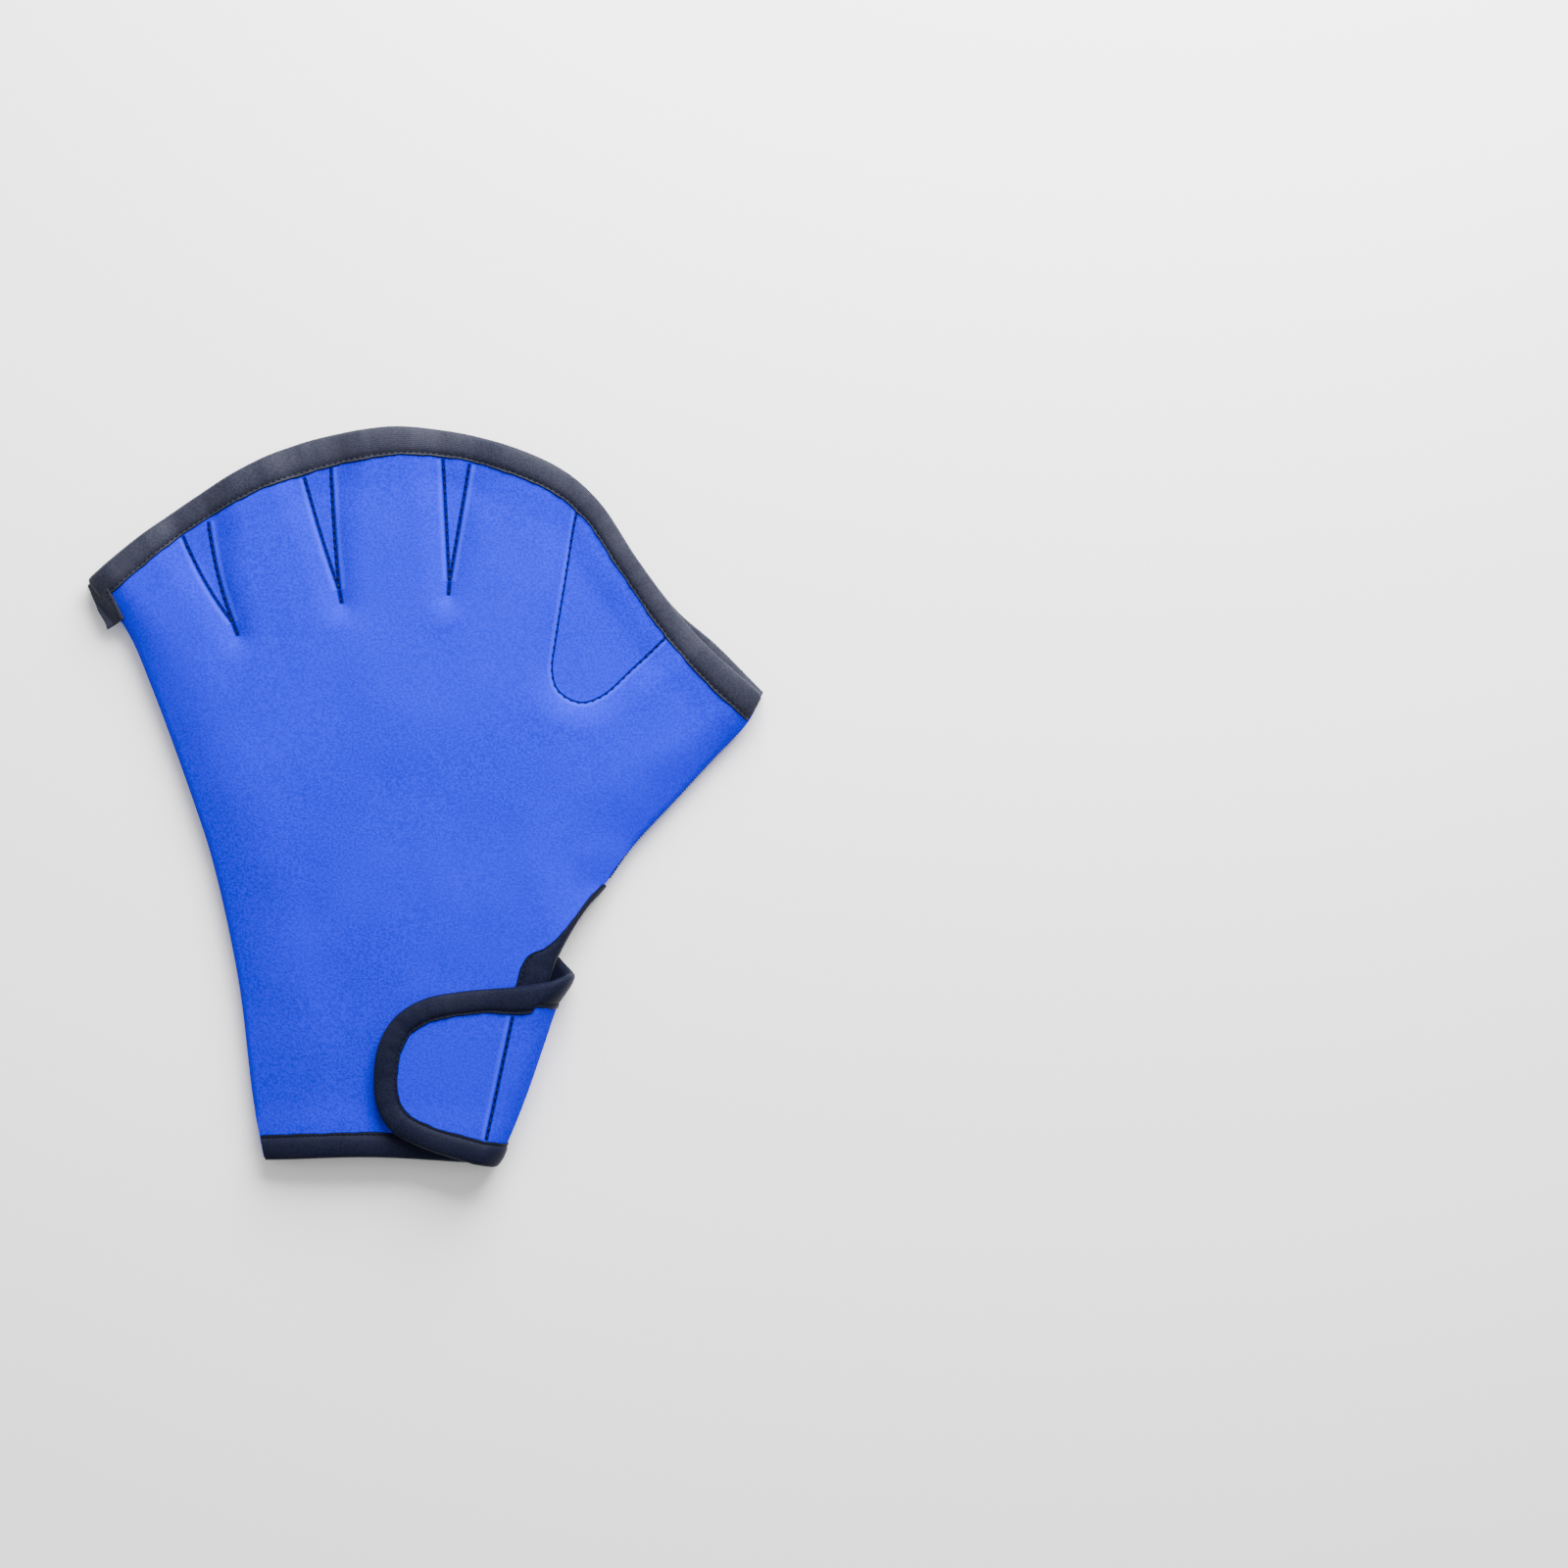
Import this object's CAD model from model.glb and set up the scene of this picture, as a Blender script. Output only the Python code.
import bpy
import numpy as np
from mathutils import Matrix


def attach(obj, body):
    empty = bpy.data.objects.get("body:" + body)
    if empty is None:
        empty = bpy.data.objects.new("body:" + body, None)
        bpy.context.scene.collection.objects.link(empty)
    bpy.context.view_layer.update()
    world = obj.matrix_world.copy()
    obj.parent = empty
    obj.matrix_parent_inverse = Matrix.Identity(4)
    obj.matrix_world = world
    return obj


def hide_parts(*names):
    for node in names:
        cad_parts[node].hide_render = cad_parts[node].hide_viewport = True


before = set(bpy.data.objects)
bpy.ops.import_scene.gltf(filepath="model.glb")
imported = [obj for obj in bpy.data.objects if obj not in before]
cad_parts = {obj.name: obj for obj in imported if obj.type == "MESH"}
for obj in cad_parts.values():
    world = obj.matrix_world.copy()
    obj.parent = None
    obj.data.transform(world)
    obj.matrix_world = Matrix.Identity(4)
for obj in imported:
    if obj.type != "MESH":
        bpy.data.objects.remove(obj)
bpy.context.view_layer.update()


# back_panel: the upper sheet of 2 mm neoprene with a royal blue knitted face. It is cut flat to
# the outline and stands up a little over each finger and the palm. It is sewn to the palm down
# both sides and round the webs. Lengths are in millimetres.
MM = 0.001
CENTRE = np.array([0.507, -0.724])
PANEL_T = 2.0
SEAM_EDGE_T = 0.8
SEAM_ROUND = 1.6
TAPE_HALF = 1.5
TAPE_LIFT = TAPE_HALF - PANEL_T / 2
TAPE_REACH = 0.9
HALF_GAP = 0.25
TAPED_TO = 7.4
TAPED_EASE = 9.0
HALF_HEIGHT = {"mouth": 4.1, "palm": 4.6, "wrist": 3.9}
HEIGHT_EASE = {"mouth": 70, "wrist": 90}
SEAM_HEIGHT = 4.3
CHANNEL_SLOPE = 8.5
CHANNEL_SOFTER = 0.8
CHANNEL_FROM, CHANNEL_EASE = 9, 16
SIDE_SLOPE = {"mouth": 8.5, "palm": 22.0}
SIDE_FROM, SIDE_EASE = 10, 50
FOLD_REACH = 5.5
FOLD_INSET = 1
SLIT_INSET = 0.6
RIPPLES = [
    dict(length=46, height=0.16),
    dict(length=27, height=0.1),
    dict(length=15, height=0.05),
]
RIPPLE_WAYS = 5
RIPPLES_EASE = 12
LINE_STEPS = 400
SPAN_STEPS = 40
FAR = 99.0
NEARBY = 0.4

# The finger edge outside its tape, and how far the palm side stands out past the back.
MOUTH_EDGE = [
    dict(x=-99.9, y=65.2),
    dict(x=-80.0, y=81.1),
    dict(x=-53.1, y=98.4),
    dict(x=-36.1, y=105.4),
    dict(x=-18.8, y=109.1),
    dict(x=-7.2, y=110.0),
    dict(x=15.9, y=106.8),
    dict(x=39.0, y=97.9),
    dict(x=50.5, y=88.3),
    dict(x=62.1, y=71.0),
    dict(x=73.6, y=56.0, palm_out=0.4),
    dict(x=85.2, y=45.9, palm_out=2.2),
    dict(x=99.4, y=31.6, palm_out=0.8),
]
LITTLE_SIDE = [
    dict(x=-47.9, y=-105.5),
    dict(x=-48.8, y=-100.8),
    dict(x=-51.1, y=-87.8),
    dict(x=-55.4, y=-53.1),
    dict(x=-62.9, y=-18.5),
    dict(x=-68.4, y=-1.2),
    dict(x=-81.1, y=33.5),
    dict(x=-88.3, y=50.0),
]
THUMB_SIDE = [
    dict(x=52.2, y=-25.1),
    dict(x=60.3, y=-13.6),
    dict(x=72.2, y=-0.7),
    dict(x=84.1, y=12.2),
    dict(x=93.8, y=22.6),
]
SLIT = [dict(x=38.4, y=-45.0), dict(x=43.1, y=-36.8), dict(x=47.1, y=-31.0)]
PALM_SLIT = [dict(x=37.6, y=-46.6), dict(x=41.4, y=-39.3), dict(x=46.4, y=-31.5)]
FOLD = [
    dict(x=20.7, y=-107.6, tilt=-0.20),
    dict(x=24.5, y=-99.6, tilt=-0.16),
    dict(x=29.4, y=-87.3, tilt=-0.08),
    dict(x=33.8, y=-74.6, tilt=0.02),
    dict(x=37.9, y=-62.4, tilt=0.12),
    dict(x=42.4, y=-53.0, tilt=0.22),
]
WRIST_MIDDLE = dict(x=-16.0, y=-104.5)
WEBS = [
    dict(left=(-71.9, 77.7), right=(-64.4, 81.8), apex=(-55.7, 48.2), bow=1.0),
    dict(left=(-36.1, 95.0), right=(-28.3, 97.9), apex=(-25.1, 57.7), bow=0.3),
    dict(left=(4.8, 100.5), right=(12.6, 99.0), apex=(6.4, 60.1), bow=0.0),
]
THUMB_WEB = [
    dict(x=44.2, y=84.6),
    dict(x=40.4, y=63.5),
    dict(x=37.8, y=47.3),
    dict(x=36.7, y=38.1),
    dict(x=38.1, y=32.6),
    dict(x=41.8, y=29.4),
    dict(x=46.2, y=28.3),
    dict(x=52.3, y=30.6),
    dict(x=61.5, y=39.0),
    dict(x=70.7, y=47.9),
]


def places(rows):
    return np.array([[row["x"], row["y"]] for row in rows], float)


def resample(points, shares):
    """Points at these shares of a line's length."""
    steps = np.linalg.norm(np.diff(points, axis=0), axis=1)
    run = np.concatenate([[0], np.cumsum(steps)])
    at = np.asarray(shares) * run[-1]
    return np.stack([np.interp(at, run, points[:, k]) for k in range(points.shape[1])], 1)


def smooth_line(points, count=LINE_STEPS):
    """A centripetal Catmull-Rom curve through points, evenly spaced."""
    p = np.asarray(points, float)
    p = np.vstack([2 * p[0] - p[1], p, 2 * p[-1] - p[-2]])
    s = np.linspace(0, 1, SPAN_STEPS, endpoint=False)[:, None]
    out = []
    for a, b, c, d in zip(p[:-3], p[1:-2], p[2:-1], p[3:]):
        t0, t1, t2 = (np.sqrt(np.linalg.norm(v)) for v in (b - a, c - b, d - c))
        m1 = ((b - a) / t0 - (c - a) / (t0 + t1) + (c - b) / t1) * t1
        m2 = ((c - b) / t1 - (d - b) / (t1 + t2) + (d - c) / t2) * t1
        out.append(
            b + m1 * s + (3 * (c - b) - 2 * m1 - m2) * s**2 + (2 * (b - c) + m1 + m2) * s**3
        )
    return resample(np.vstack([*out, p[-2:-1]]), np.linspace(0, 1, count + 1))


def headings(line):
    d = np.gradient(line, axis=0)
    return d / np.linalg.norm(d, axis=1, keepdims=True)


def to_right(v):
    return np.stack([v[..., 1], -v[..., 0]], -1)


def shifted(points, distance):
    p = np.asarray(points, float)
    before, after = np.vstack([p[:1], p[:-1]]), np.vstack([p[1:], p[-1:]])
    way = after - before
    way /= np.linalg.norm(way, axis=1, keepdims=True)
    return p + to_right(way) * np.broadcast_to(distance, len(p))[:, None]


def distance(points, line, batch=20000):
    """How far each point is from a line of segments, a batch of points at a time."""
    a, run = line[:-1], np.diff(line, axis=0)
    flat = points.reshape(-1, 2)
    out = np.empty(len(flat))
    for start in range(0, len(flat), batch):
        p = flat[start : start + batch, None] - a
        share = np.clip((p * run).sum(2) / (run**2).sum(1), 0, 1)
        gap = p - run * share[..., None]
        out[start : start + batch] = np.sqrt((gap**2).sum(2).min(1))
    return out.reshape(points.shape[:-1])


def inside(points, ring):
    x, y = points[..., 0], points[..., 1]
    found = np.zeros(x.shape, bool)
    for a, b in zip(ring, np.roll(ring, 1, axis=0)):
        if a[1] != b[1]:
            crosses = (a[1] > y) != (b[1] > y)
            found ^= crosses & (x < (b[0] - a[0]) * (y - a[1]) / (b[1] - a[1]) + a[0])
    return found


def ease(v):
    v = np.clip(v, 0, 1)
    return v * v * (3 - 2 * v)


def dome(v):
    return 1 - (1 - np.clip(v, 0, 1)) ** 2


def mix(a, b, s):
    return a + (b - a) * s


fold_turns = np.array([[1, row["tilt"]] for row in FOLD])
fold_turns /= np.linalg.norm(fold_turns, axis=1, keepdims=True)
fold_start = places(FOLD) - fold_turns * (FOLD_REACH + FOLD_INSET)
mouth_out = np.array([row.get("palm_out", 0) for row in MOUTH_EDGE])
mouth_of = {
    "back": smooth_line(shifted(places(MOUTH_EDGE), TAPE_REACH + mouth_out)),
    "palm": smooth_line(shifted(places(MOUTH_EDGE), TAPE_REACH)),
}
left_of = {k: smooth_line([*places(LITTLE_SIDE), mouth_of[k][0]]) for k in mouth_of}
slit_start = {"back": fold_start - fold_turns * SLIT_INSET, "palm": fold_start}
right_of = {
    k: smooth_line([*slit_start[k], *places(SLIT), *places(THUMB_SIDE), mouth_of[k][-1]])
    for k in mouth_of
}


def nearest_step(line, place):
    return np.argmin(np.linalg.norm(line - place, axis=1))


fold_top = right_of["palm"][: nearest_step(right_of["palm"], fold_start[-1]) + 1]
right_of["palm"] = smooth_line(
    [*fold_start[:-1], *places(PALM_SLIT), *places(THUMB_SIDE), mouth_of["palm"][-1]]
)
wrist_of = {
    k: smooth_line([places(LITTLE_SIDE)[0], places([WRIST_MIDDLE])[0], slit_start[k][0]])
    for k in mouth_of
}

# The same edges in fewer steps, to measure distances from.
little_seam = left_of["back"][::5]
thumb_seam = smooth_line([*places(THUMB_SIDE), mouth_of["back"][-1]], 60)
mouth_edge = mouth_of["back"][::4]
wrist_edge = wrist_of["palm"][::20]
slit_edge = smooth_line([fold_start[-1], *places(SLIT), places(THUMB_SIDE)[0]], 30)


def past_edge(start, end, further=16):
    """A point beyond the finger edge, so that a web's ring closes outside the glove."""
    way = np.subtract(end, start)
    return end + way / np.linalg.norm(way) * further


web_rings = [
    np.array([past_edge(w["apex"], w["left"]), w["apex"], past_edge(w["apex"], w["right"])])
    for w in WEBS
]
thumb_web = smooth_line(places(THUMB_WEB), 120)
thumb_ring = np.vstack(
    [
        past_edge(thumb_web[4], thumb_web[0]),
        thumb_web,
        past_edge(thumb_web[-5], thumb_web[-1]),
    ]
)
web_rings.append(thumb_ring)


def fullness(p):
    """How near the tape a place is, the glove's middle and half its height, and the seam."""
    to_mouth, to_wrist = distance(p, mouth_edge), distance(p, wrist_edge)
    to_slit = distance(p, slit_edge)
    to_seam = np.minimum(distance(p, little_seam), distance(p, thumb_seam))
    to_web = np.full(to_mouth.shape, FAR)
    for ring in web_rings:
        to_web = np.minimum(to_web, np.where(inside(p, ring), 0, distance(p, ring)))
    nearest = np.minimum(np.minimum(to_mouth, to_wrist), to_slit)
    taped = 1 - ease((nearest - TAPED_TO) / TAPED_EASE)
    inland = ease((to_mouth - SIDE_FROM) / SIDE_EASE)
    open_ = dome(to_seam / mix(SIDE_SLOPE["mouth"], SIDE_SLOPE["palm"], inland))
    palm = HALF_HEIGHT["palm"]
    half = palm
    for end, gap in (("mouth", to_mouth), ("wrist", to_wrist)):
        half = half - (palm - HALF_HEIGHT[end]) * (1 - ease(gap / HEIGHT_EASE[end]))
    least = HALF_GAP + mix(PANEL_T / 2, TAPE_HALF, taped)
    middle = mix(SEAM_HEIGHT, PANEL_T / 2 + TAPE_LIFT * taped + half, open_)
    beside = to_web / CHANNEL_SLOPE
    at_mouth = 1 - ease((to_mouth - CHANNEL_FROM) / CHANNEL_EASE)
    rise = mix(dome(beside), ease(beside * CHANNEL_SOFTER), at_mouth)
    reach = least + (half - least) * open_ * rise
    return taped, middle, reach, to_seam


def edge_thickness(to_seam, taped):
    """The sheet thins to a rounded edge at the side seams, but not under tape."""
    near = np.clip(1 - to_seam / SEAM_ROUND, 0, 1)
    thin = SEAM_EDGE_T + (PANEL_T - SEAM_EDGE_T) * np.sqrt(1 - near**2)
    return mix(thin, PANEL_T, taped)


def ripples(p, seed):
    """Slight waves of the cloth, in millimetres."""
    rng = np.random.default_rng(seed)
    z = np.zeros(p.shape[:-1])
    for row in RIPPLES:
        for _ in range(RIPPLE_WAYS):
            way, phase = rng.normal(size=2), rng.uniform(0, 2 * np.pi)
            way *= 2 * np.pi / row["length"] / np.linalg.norm(way)
            z += row["height"] / 2 * np.sin(p @ way + phase)
    return z


def back_height(p, thick=True, wavy=True):
    """The height of the back's middle surface and the sheet's thickness there."""
    taped, middle, reach, to_seam = fullness(p)
    t = edge_thickness(to_seam, taped)
    waves = ripples(p, seed=3) * ease(to_seam / RIPPLES_EASE) if wavy else 0
    drop = (PANEL_T - t) / 2 * (1 - taped) if thick else 0
    return middle + reach - drop + waves, t


def palm_height(p, thick=True):
    """The same of the palm, which never goes below the floor."""
    taped, middle, reach, to_seam = fullness(p)
    t = edge_thickness(to_seam, taped)
    rise = (PANEL_T - t) / 2 * (1 - taped) if thick else 0
    return np.maximum(middle - reach + rise, PANEL_T / 2 + TAPE_LIFT * taped), t


def back_only(p):
    return back_height(p, thick=False)[0]


def palm_only(p):
    return palm_height(p, thick=False)[0]


def coons(bottom, top, left, right, across):
    """A grid between four edges: rows from bottom to top, columns from left to right."""
    u = across[None, :, None]
    v = np.linspace(0, 1, len(left))[:, None, None]
    corners = (
        (1 - u) * (1 - v) * left[0]
        + u * (1 - v) * right[0]
        + (1 - u) * v * left[-1]
        + u * v * right[-1]
    )
    return (
        (1 - v) * bottom[None] + v * top[None] + (1 - u) * left[:, None] + u * right[:, None]
    ) - corners


CLOSE_AT, EVEN_FROM = (0, 0.12, 0.35, 0.75, 1.2), 1.5


def close_columns(count, side=SEAM_ROUND, length=200):
    """Even columns, and closer ones at both sides, where the sheet's edge is rounded."""
    near = np.array(CLOSE_AT) * side / length
    first = EVEN_FROM * side / length
    return np.concatenate([near, np.linspace(first, 1 - first, count), 1 - near[::-1]])


def cloth(name, middle, thickness, quads, uv):
    """A closed sheet about its middle surface. Points are in millimetres."""
    count = len(middle)
    face = np.cross(
        middle[quads[:, 2]] - middle[quads[:, 0]], middle[quads[:, 3]] - middle[quads[:, 1]]
    )
    normal = np.zeros_like(middle)
    for k in range(4):
        np.add.at(normal, quads[:, k], face)
    normal /= np.linalg.norm(normal, axis=1, keepdims=True)
    half = thickness[:, None] / 2
    points = np.vstack([middle + normal * half, middle - normal * half])
    edges = np.vstack([quads[:, [k, (k + 1) % 4]] for k in range(4)])
    key = edges.min(1) * count + edges.max(1)
    _, first, seen = np.unique(key, return_index=True, return_counts=True)
    rim = edges[first[seen == 1]]
    sides = np.stack([rim[:, 0], rim[:, 0] + count, rim[:, 1] + count, rim[:, 1]], 1)
    faces = np.vstack([quads, quads[:, ::-1] + count, sides])
    return solid(name, points, faces, np.vstack([uv, uv]))


def solid(name, points, faces, uv=None):
    """A mesh object from points in millimetres, smooth shaded, standing in the row frame."""
    moved = np.array(points, float)
    moved[:, :2] += CENTRE
    mesh = bpy.data.meshes.new(name)
    mesh.from_pydata((moved * MM).tolist(), [], [list(map(int, f)) for f in faces])
    if uv is not None:
        layer = mesh.uv_layers.new(name="run")
        index = np.zeros(len(mesh.loops), np.int32)
        mesh.loops.foreach_get("vertex_index", index)
        layer.data.foreach_set("uv", (uv[index] * MM).astype(np.float32).ravel())
    mesh.shade_smooth()
    mesh.update()
    piece = bpy.data.objects.new(name, mesh)
    bpy.context.collection.objects.link(piece)
    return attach(piece, "root")


def grid_quads(index):
    corners = [index[:-1, :-1], index[:-1, 1:], index[1:, 1:], index[1:, :-1]]
    return np.stack(corners, -1).reshape(-1, 4)


class Nodes:
    """A node material under construction."""

    def __init__(self, name):
        self.material = bpy.data.materials.new(name)
        self.material.use_nodes = True
        self.tree = self.material.node_tree
        self.shader = self.tree.nodes["Principled BSDF"]

    def add(self, kind, values=(), **settings):
        node = self.tree.nodes.new(kind)
        for key, value in settings.items():
            setattr(node, key, value)
        for socket, value in dict(values).items():
            if isinstance(value, bpy.types.NodeSocket):
                self.tree.links.new(value, node.inputs[socket])
            else:
                node.inputs[socket].default_value = value
        return node

    def math(self, operation, *values):
        return self.add("ShaderNodeMath", dict(enumerate(values)), operation=operation).outputs[0]

    def dot(self, vector, direction):
        values = {0: vector, 1: direction}
        return self.add("ShaderNodeVectorMath", values, operation="DOT_PRODUCT").outputs["Value"]

    def noise(self, place, scale, detail):
        values = {0: place, "Scale": scale, "Detail": detail}
        return self.add("ShaderNodeTexNoise", values).outputs[0]

    def band(self, value, low, high, start=0.0, end=1.0):
        values = {0: value, 1: low, 2: high, 3: start, 4: end}
        return self.add(
            "ShaderNodeMapRange", values, interpolation_type="SMOOTHSTEP"
        ).outputs[0]

    def mixed(self, share, a, b):
        values = {0: share, 6: a, 7: b}
        return self.add("ShaderNodeMix", values, data_type="RGBA").outputs[2]

    def set(self, **values):
        for key, value in values.items():
            socket = self.shader.inputs[key.replace("_", " ")]
            if isinstance(value, bpy.types.NodeSocket):
                self.tree.links.new(value, socket)
            else:
                socket.default_value = value


# A straight groove's core and rim in shares of its half width, and the thumb web's in mm.
GROOVE_CORE, RIM_AT = 0.3, (0.8, 1.5, 3.4)
LINE_END = 0.3
THUMB_GROOVE, THUMB_RIM_AT = (0.12, 0.5), (0.4, 0.9, 2.0)


def line_masks(n, place, start, end, bow=0.0, half=0.72, rim=0):
    """Masks of a stitched line seen from above, and of the raised rim on one side of it."""
    a, b = (np.array(start) + CENTRE) * MM, (np.array(end) + CENTRE) * MM
    length = np.linalg.norm(b - a)
    way = (b - a) / length
    side = np.array([way[1], -way[0]])
    run = n.math("SUBTRACT", n.dot(place, (*way, 0)), float(a @ way))
    off = n.math("SUBTRACT", n.dot(place, (*side, 0)), float(a @ side))
    if bow:
        rest = n.math("SUBTRACT", float(length), run)
        arch = n.math("MULTIPLY", n.math("MULTIPLY", run, rest), 4 * bow * MM / length**2)
        off = n.math("SUBTRACT", off, arch)
    near = n.band(n.math("ABSOLUTE", off), GROOVE_CORE * half * MM, half * MM, 1.0, 0.0)
    begun = n.band(run, -LINE_END * MM, LINE_END * MM)
    over = n.band(run, length - LINE_END * MM, length + LINE_END * MM, 1.0, 0.0)
    within = n.math("MULTIPLY", begun, over)
    groove = n.math("MULTIPLY", near, within)
    if not rim:
        return groove, None
    beside = n.math("MULTIPLY", off, float(rim))
    start, crest, end = (share * half * MM for share in RIM_AT)
    rises, falls = n.band(beside, start, crest), n.band(beside, crest, end, 1.0, 0.0)
    return groove, n.math("MULTIPLY", n.math("MULTIPLY", rises, falls), within)


def greatest(n, masks):
    total = masks[0]
    for mask in masks[1:]:
        total = n.math("MAXIMUM", total, mask)
    return total


BLUE_DEEP = (0.0006, 0.0001, 0.40, 1.0)
BLUE_LIGHT = (0.0014, 0.0002, 0.59, 1.0)
BLUE_WORN = (0.0030, 0.0005, 0.66, 1.0)
BLUE_RIM = (0.03, 0.04, 0.85, 1.0)
BLUE_DARK = (0.001, 0.001, 0.035, 1.0)
KNIT_SCALE = {"grain": 1500.0, "loops": 2100.0, "patches": 22.0}
KNIT_RELIEF = {"grain": 0.6, "loops": 0.5, "rims": 1.6, "groove": -3.0}
RIM_SHARE, GROOVE_SHARE = 0.4, 0.93


def knit(name, lines, ring):
    """Knitted neoprene face: a fine grain, soft sheen, and grooves along stitched lines."""
    n = Nodes(name)
    place = n.add("ShaderNodeTexCoord").outputs["Object"]
    grain = n.noise(place, KNIT_SCALE["grain"], 3.0)
    loops = n.add(
        "ShaderNodeTexVoronoi", {0: place, "Scale": KNIT_SCALE["loops"]}
    ).outputs["Distance"]
    patches = n.noise(place, KNIT_SCALE["patches"], 2.0)
    base = n.mixed(n.band(grain, 0.34, 0.66), BLUE_DEEP, BLUE_LIGHT)
    base = n.mixed(n.band(patches, 0.3, 0.7, 0.0, 0.3), base, BLUE_WORN)
    masks = [line_masks(n, place, **line) for line in lines]
    signed = n.add("ShaderNodeAttribute", attribute_name=ring).outputs["Fac"]
    core, wall = (v * MM for v in THUMB_GROOVE)
    around = n.band(n.math("ABSOLUTE", signed), core, wall, 1.0, 0.0)
    groove = greatest(n, [mask for mask, _ in masks] + [around])
    start, crest, end = (v * MM for v in THUMB_RIM_AT)
    rises, falls = n.band(signed, start, crest), n.band(signed, crest, end, 1.0, 0.0)
    beside = n.math("MULTIPLY", rises, falls)
    rims = greatest(n, [rim for _, rim in masks if rim] + [beside])
    base = n.mixed(n.math("MULTIPLY", rims, RIM_SHARE), base, BLUE_RIM)
    base = n.mixed(n.math("MULTIPLY", groove, GROOVE_SHARE), base, BLUE_DARK)
    height = n.math("MULTIPLY", grain, KNIT_RELIEF["grain"])
    for key, mask in (("loops", loops), ("rims", rims), ("groove", groove)):
        height = n.math("ADD", height, n.math("MULTIPLY", mask, KNIT_RELIEF[key]))
    bump = n.add("ShaderNodeBump", {"Strength": 0.55, "Distance": 0.00016, "Height": height})
    n.set(Base_Color=base, Roughness=0.85, Normal=bump.outputs[0], Specular_IOR_Level=0.02)
    n.set(Sheen_Weight=0.02, Sheen_Roughness=0.5, Sheen_Tint=(0.1, 0.2, 1.0, 1.0))
    return n.material


WEB_MEET = 4.2
web_lines = []
for web in WEBS:
    up = np.add(web["left"], web["right"]) / 2 - web["apex"]
    meet = tuple(np.array(web["apex"]) + up / np.linalg.norm(up) * WEB_MEET)
    web_lines.append(dict(start=meet, end=web["left"], bow=-web["bow"], rim=-1))
    web_lines.append(dict(start=meet, end=web["right"], bow=-web["bow"], rim=1))
    web_lines.append(dict(start=web["apex"], end=meet, half=0.85))
blue_back = knit("blue_knit_back", web_lines, "thumb_web")

ROWS, COLUMNS = 180, 230
columns = close_columns(COLUMNS)
back_plan = coons(
    resample(wrist_of["back"], columns),
    resample(mouth_of["back"], columns),
    resample(left_of["back"], np.linspace(0, 1, ROWS)),
    resample(right_of["back"], np.linspace(0, 1, ROWS)),
    columns,
)
back_z, back_t = back_height(back_plan)
back_index = np.arange(back_z.size).reshape(back_z.shape)
back_cloth = cloth(
    "back_panel_cloth",
    np.concatenate([back_plan, back_z[..., None]], -1).reshape(-1, 3),
    back_t.ravel(),
    grid_quads(back_index),
    back_plan.reshape(-1, 2),
)


def ring_attribute(piece, plan):
    """Signed distance to the thumb web's stitched line, for the groove."""
    flat = plan.reshape(-1, 2)
    signed = distance(flat, thumb_web) * np.where(inside(flat, thumb_ring), -1, 1)
    layer = piece.data.attributes.new("thumb_web", "FLOAT", "POINT")
    layer.data.foreach_set("value", (np.concatenate([signed, signed]) * MM).astype(np.float32))


ring_attribute(back_cloth, back_plan)
back_cloth.data.materials.append(blue_back)
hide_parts("back_panel")


# palm_panel: the lower sheet of the same neoprene, cut in one piece with the closure tab.
# It lies flat on the floor, turns over the back at the thumb side of the wrist and ends as
# a rounded tab, held down by the hook patch under it.
TAB_ABOVE_BACK = 3.9
TAB_EDGE = [
    dict(x=27.4, y=-54.9),
    dict(x=10.1, y=-56.5),
    dict(x=-0.9, y=-58.8),
    dict(x=-9.2, y=-64.2),
    dict(x=-13.9, y=-72.4),
    dict(x=-15.2, y=-82.0),
    dict(x=-14.2, y=-90.4),
    dict(x=-10.0, y=-97.4),
    dict(x=-1.4, y=-102.2),
]
FOLD_ROWS = 70
FOLD_STEPS = 22
TAB_STEPS = 60
TAB_CORNERS = (0.33, 0.72)
CORNER_DROP = 3.1
CORNER_FROM, CORNER_EASE = 0.8, 0.2
HOOK_LINE = dict(start=(17.9, -100.2), end=(25.7, -63.8))

palm_right = right_of["palm"]
slit_corner = places(PALM_SLIT)[0]
corner_share = nearest_step(palm_right, slit_corner) / LINE_STEPS
fold_shares = np.linspace(0, corner_share, FOLD_ROWS)
rest_shares = np.linspace(corner_share, 1, ROWS - FOLD_ROWS + 1)[1:]
right_shares = np.concatenate([fold_shares, rest_shares])
palm_plan = coons(
    resample(wrist_of["palm"], columns),
    resample(mouth_of["palm"], columns),
    resample(left_of["palm"], right_shares),
    resample(palm_right, right_shares),
    columns,
)


def tab_height(p):
    return back_height(p, thick=False, wavy=False)[0] + TAB_ABOVE_BACK


def turn_at(share):
    """The way the fold turns over, at a share of the fold's length."""
    tilt = np.interp(share, np.linspace(0, 1, len(FOLD)), [row["tilt"] for row in FOLD])
    way = np.stack([np.ones_like(tilt), tilt], -1)
    return way / np.linalg.norm(way, axis=-1, keepdims=True)


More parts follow.
